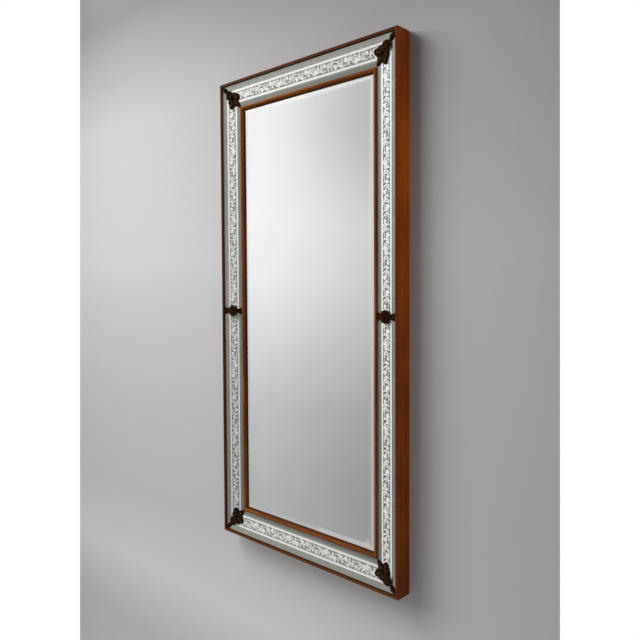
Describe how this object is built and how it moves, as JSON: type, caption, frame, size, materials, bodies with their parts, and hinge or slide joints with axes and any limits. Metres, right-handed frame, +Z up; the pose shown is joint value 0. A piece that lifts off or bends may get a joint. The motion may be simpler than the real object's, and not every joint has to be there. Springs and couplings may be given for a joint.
{
  "type": "wall mirror",
  "caption": "Tall bevelled wall mirror in a deep wooden case, with a sloping border of etched glass strips, cast leaves and rosettes, and hanging rings on the back.",
  "frame": {"origin": "middle of the plane that lies against the wall, at half the frame's height and width", "axes": "+X to the right as seen from the front, +Y into the wall, +Z up; the front faces -Y"},
  "size_m": [0.82, 0.06, 1.7],
  "materials": {
    "case_wood": "dark reddish brown stain, satin varnish",
    "moulding_wood": "mid brown stain, glossy varnish",
    "ground_wood": "unfinished softwood",
    "brace_wood": "unfinished softwood",
    "block_wood": "unfinished softwood",
    "panel_board": "plain thin board",
    "strip_glass": "grey toned silvered glass, cut lines and an etched scroll",
    "plate_glass": "clear silvered glass, polished bevel",
    "card": "plain stiff card",
    "cast_bronze": "cast, dark brown patina",
    "steel": "plain",
    "screw_steel": "plain",
    "hanger_brass": "plain, slightly dulled"
  },
  "bodies": {
    "frame": {"case_top": "case_wood", "case_bottom": "case_wood", "case_left": "case_wood", "case_right": "case_wood", "ground_top": "ground_wood", "ground_bottom": "ground_wood", "ground_left": "ground_wood", "ground_right": "ground_wood", "inner_moulding_top": "moulding_wood", "inner_moulding_bottom": "moulding_wood", "inner_moulding_left": "moulding_wood", "inner_moulding_right": "moulding_wood", "glass_strip_top": "strip_glass", "glass_strip_bottom": "strip_glass", "glass_strip_left_upper": "strip_glass", "glass_strip_left_lower": "strip_glass", "glass_strip_right_upper": "strip_glass", "glass_strip_right_lower": "strip_glass", "mirror_plate": "plate_glass", "backing_card": "card", "glazing_blocks": "block_wood", "back_panel": "panel_board", "cross_brace": "brace_wood", "corner_leaf_top_left": "cast_bronze", "corner_leaf_top_right": "cast_bronze", "corner_leaf_bottom_left": "cast_bronze", "corner_leaf_bottom_right": "cast_bronze", "corner_flower_top_left": "cast_bronze", "corner_flower_top_right": "cast_bronze", "corner_flower_bottom_left": "cast_bronze", "corner_flower_bottom_right": "cast_bronze", "side_strap_left": "cast_bronze", "side_strap_right": "cast_bronze", "side_rosette_left": "cast_bronze", "side_rosette_right": "cast_bronze", "corner_bracket_top_left": "steel", "corner_bracket_top_right": "steel", "corner_bracket_bottom_left": "steel", "corner_bracket_bottom_right": "steel", "stud_nuts": "steel", "stud_washers": "steel", "bracket_screws": "screw_steel", "panel_screws": "screw_steel", "brace_screws": "screw_steel", "hanger_screws": "screw_steel", "hanger_plate_left": "hanger_brass", "hanger_plate_right": "hanger_brass"},
    "ring_left": {"hanger_ring_left": "hanger_brass"},
    "ring_right": {"hanger_ring_right": "hanger_brass"}
  },
  "joints": [
    {"name": "ring_hinge_left", "type": "hinge", "parent": "frame", "child": "ring_left", "pos_m": [-0.383, -0.0106, 0.52], "axis": [1, 0, 0], "range_deg": [0, 180]},
    {"name": "ring_hinge_right", "type": "hinge", "parent": "frame", "child": "ring_right", "pos_m": [0.383, -0.0106, 0.52], "axis": [1, 0, 0], "range_deg": [0, 180]}
  ]
}
